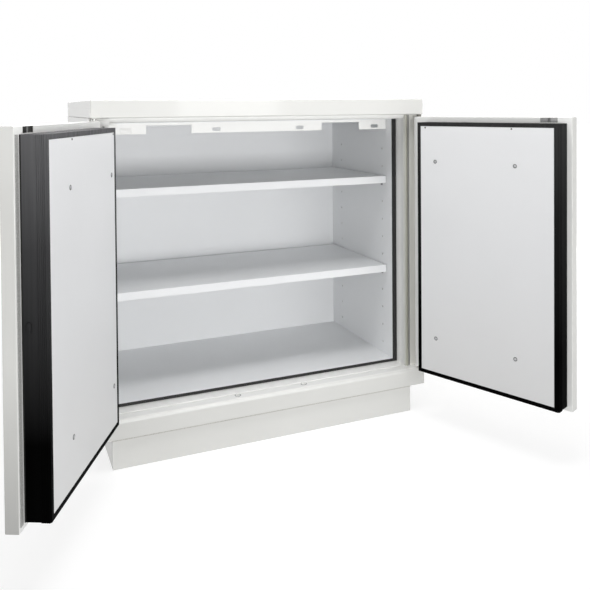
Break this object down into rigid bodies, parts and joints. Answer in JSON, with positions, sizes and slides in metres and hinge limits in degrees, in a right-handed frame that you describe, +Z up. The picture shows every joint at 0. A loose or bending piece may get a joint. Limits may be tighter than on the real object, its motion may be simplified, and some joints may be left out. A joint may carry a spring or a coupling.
{
  "type": "fireproof document cabinet",
  "caption": "Low fireproof document cabinet with insulated walls, inner shelves and two hinged plug doors with bolts, on a plinth.",
  "frame": {"origin": "on the floor under the middle of the cabinet's footprint, on the lower face of the plinth's cross rail", "axes": "+Z up, front with the doors towards -Y, +X to the right seen from the front"},
  "size_m": [1.7043, 1.2941, 1.164],
  "materials": {
    "white_paint": "smooth warm white powder coat",
    "light_grey_paint": "cool light grey coat of the interior",
    "black_coat": "semi-gloss black",
    "black_rubber": "matt black",
    "grey_strip": "matt grey",
    "fire_board": "raw insulating board",
    "steel": "satin steel"
  },
  "bodies": {
    "cabinet": {"plinth_front_rail": "white_paint", "plinth_back_rail": "white_paint", "plinth_left_rail": "white_paint", "plinth_right_rail": "white_paint", "plinth_cross_rail": "white_paint", "base_pan": "white_paint", "top_cover": "white_paint", "left_side_casing": "white_paint", "right_side_casing": "white_paint", "back_casing": "white_paint", "left_insulation": "fire_board", "right_insulation": "fire_board", "back_insulation": "fire_board", "top_insulation": "fire_board", "bottom_insulation": "fire_board", "left_jamb": "white_paint", "right_jamb": "white_paint", "frame_head": "white_paint", "frame_sill": "white_paint", "liner_left": "light_grey_paint", "liner_right": "light_grey_paint", "liner_back": "light_grey_paint", "liner_top": "light_grey_paint", "liner_floor": "light_grey_paint", "frame_seal": "black_rubber", "head_strip": "white_paint", "upper_shelf": "light_grey_paint", "lower_shelf": "light_grey_paint", "upper_clip_left_front": "steel", "upper_clip_left_back": "steel", "upper_clip_right_front": "steel", "upper_clip_right_back": "steel", "lower_clip_left_front": "steel", "lower_clip_left_back": "steel", "lower_clip_right_front": "steel", "lower_clip_right_back": "steel", "left_pivot_top": "steel", "left_pivot_bottom": "steel", "right_pivot_top": "steel", "right_pivot_bottom": "steel"},
    "left_door": {"left_door_panel": "white_paint", "left_door_core": "fire_board", "left_plug_frame": "black_coat", "left_inner_panel": "light_grey_paint", "left_edge_seal": "black_rubber", "left_meeting_strip": "grey_strip", "left_bolt_case": "steel"},
    "right_door": {"right_door_panel": "white_paint", "right_door_core": "fire_board", "right_plug_frame": "black_coat", "right_inner_panel": "light_grey_paint", "right_edge_seal": "black_rubber", "right_lock_case": "steel", "right_lock_plate": "steel"},
    "left_upper_bolt": {"left_upper_rod": "steel"},
    "left_lower_bolt": {"left_lower_rod": "steel"},
    "right_upper_bolt": {"right_upper_rod": "steel"},
    "right_lower_bolt": {"right_lower_rod": "steel"},
    "left_lever": {"left_edge_lever": "black_coat"},
    "handle": {"right_handle": "steel"}
  },
  "joints": [
    {"name": "left_door_hinge", "type": "hinge", "parent": "cabinet", "child": "left_door", "pos_m": [-0.588, -0.3635, 0.64], "axis": [0, 0, 1], "range_deg": [-4, 116.1]},
    {"name": "right_door_hinge", "type": "hinge", "parent": "cabinet", "child": "right_door", "pos_m": [0.588, -0.3635, 0.64], "axis": [0, 0, 1], "range_deg": [-112.8, 6]},
    {"name": "handle_turn", "type": "hinge", "parent": "right_door", "child": "handle", "pos_m": [0.79665, -0.816, 0.64], "axis": [-0.9219, -0.3875, 0], "range_deg": [0, 90]},
    {"name": "left_lever_turn", "type": "hinge", "parent": "left_door", "child": "left_lever", "pos_m": [-0.8016, -0.88133, 0.64], "axis": [-0.4399, -0.898, 0], "range_deg": [0, 90]},
    {"name": "left_upper_bolt_slide", "type": "slide", "parent": "left_door", "child": "left_upper_bolt", "axis": [0, 0, 1], "range_m": [0, 0.016]},
    {"name": "left_lower_bolt_slide", "type": "slide", "parent": "left_door", "child": "left_lower_bolt", "axis": [0, 0, -1], "range_m": [0, 0.026]},
    {"name": "right_upper_bolt_slide", "type": "slide", "parent": "right_door", "child": "right_upper_bolt", "axis": [0, 0, 1], "range_m": [0, 0.016]},
    {"name": "right_lower_bolt_slide", "type": "slide", "parent": "right_door", "child": "right_lower_bolt", "axis": [0, 0, -1], "range_m": [0, 0.026]}
  ],
  "couplings": [
    {"joint": "right_upper_bolt_slide", "follows": "handle_turn", "m_per_rad": 0.010186},
    {"joint": "right_lower_bolt_slide", "follows": "handle_turn", "m_per_rad": 0.016552},
    {"joint": "left_lever_turn", "follows": "left_upper_bolt_slide", "rad_per_m": 98.175},
    {"joint": "left_lower_bolt_slide", "follows": "left_upper_bolt_slide", "ratio": 1.625}
  ]
}
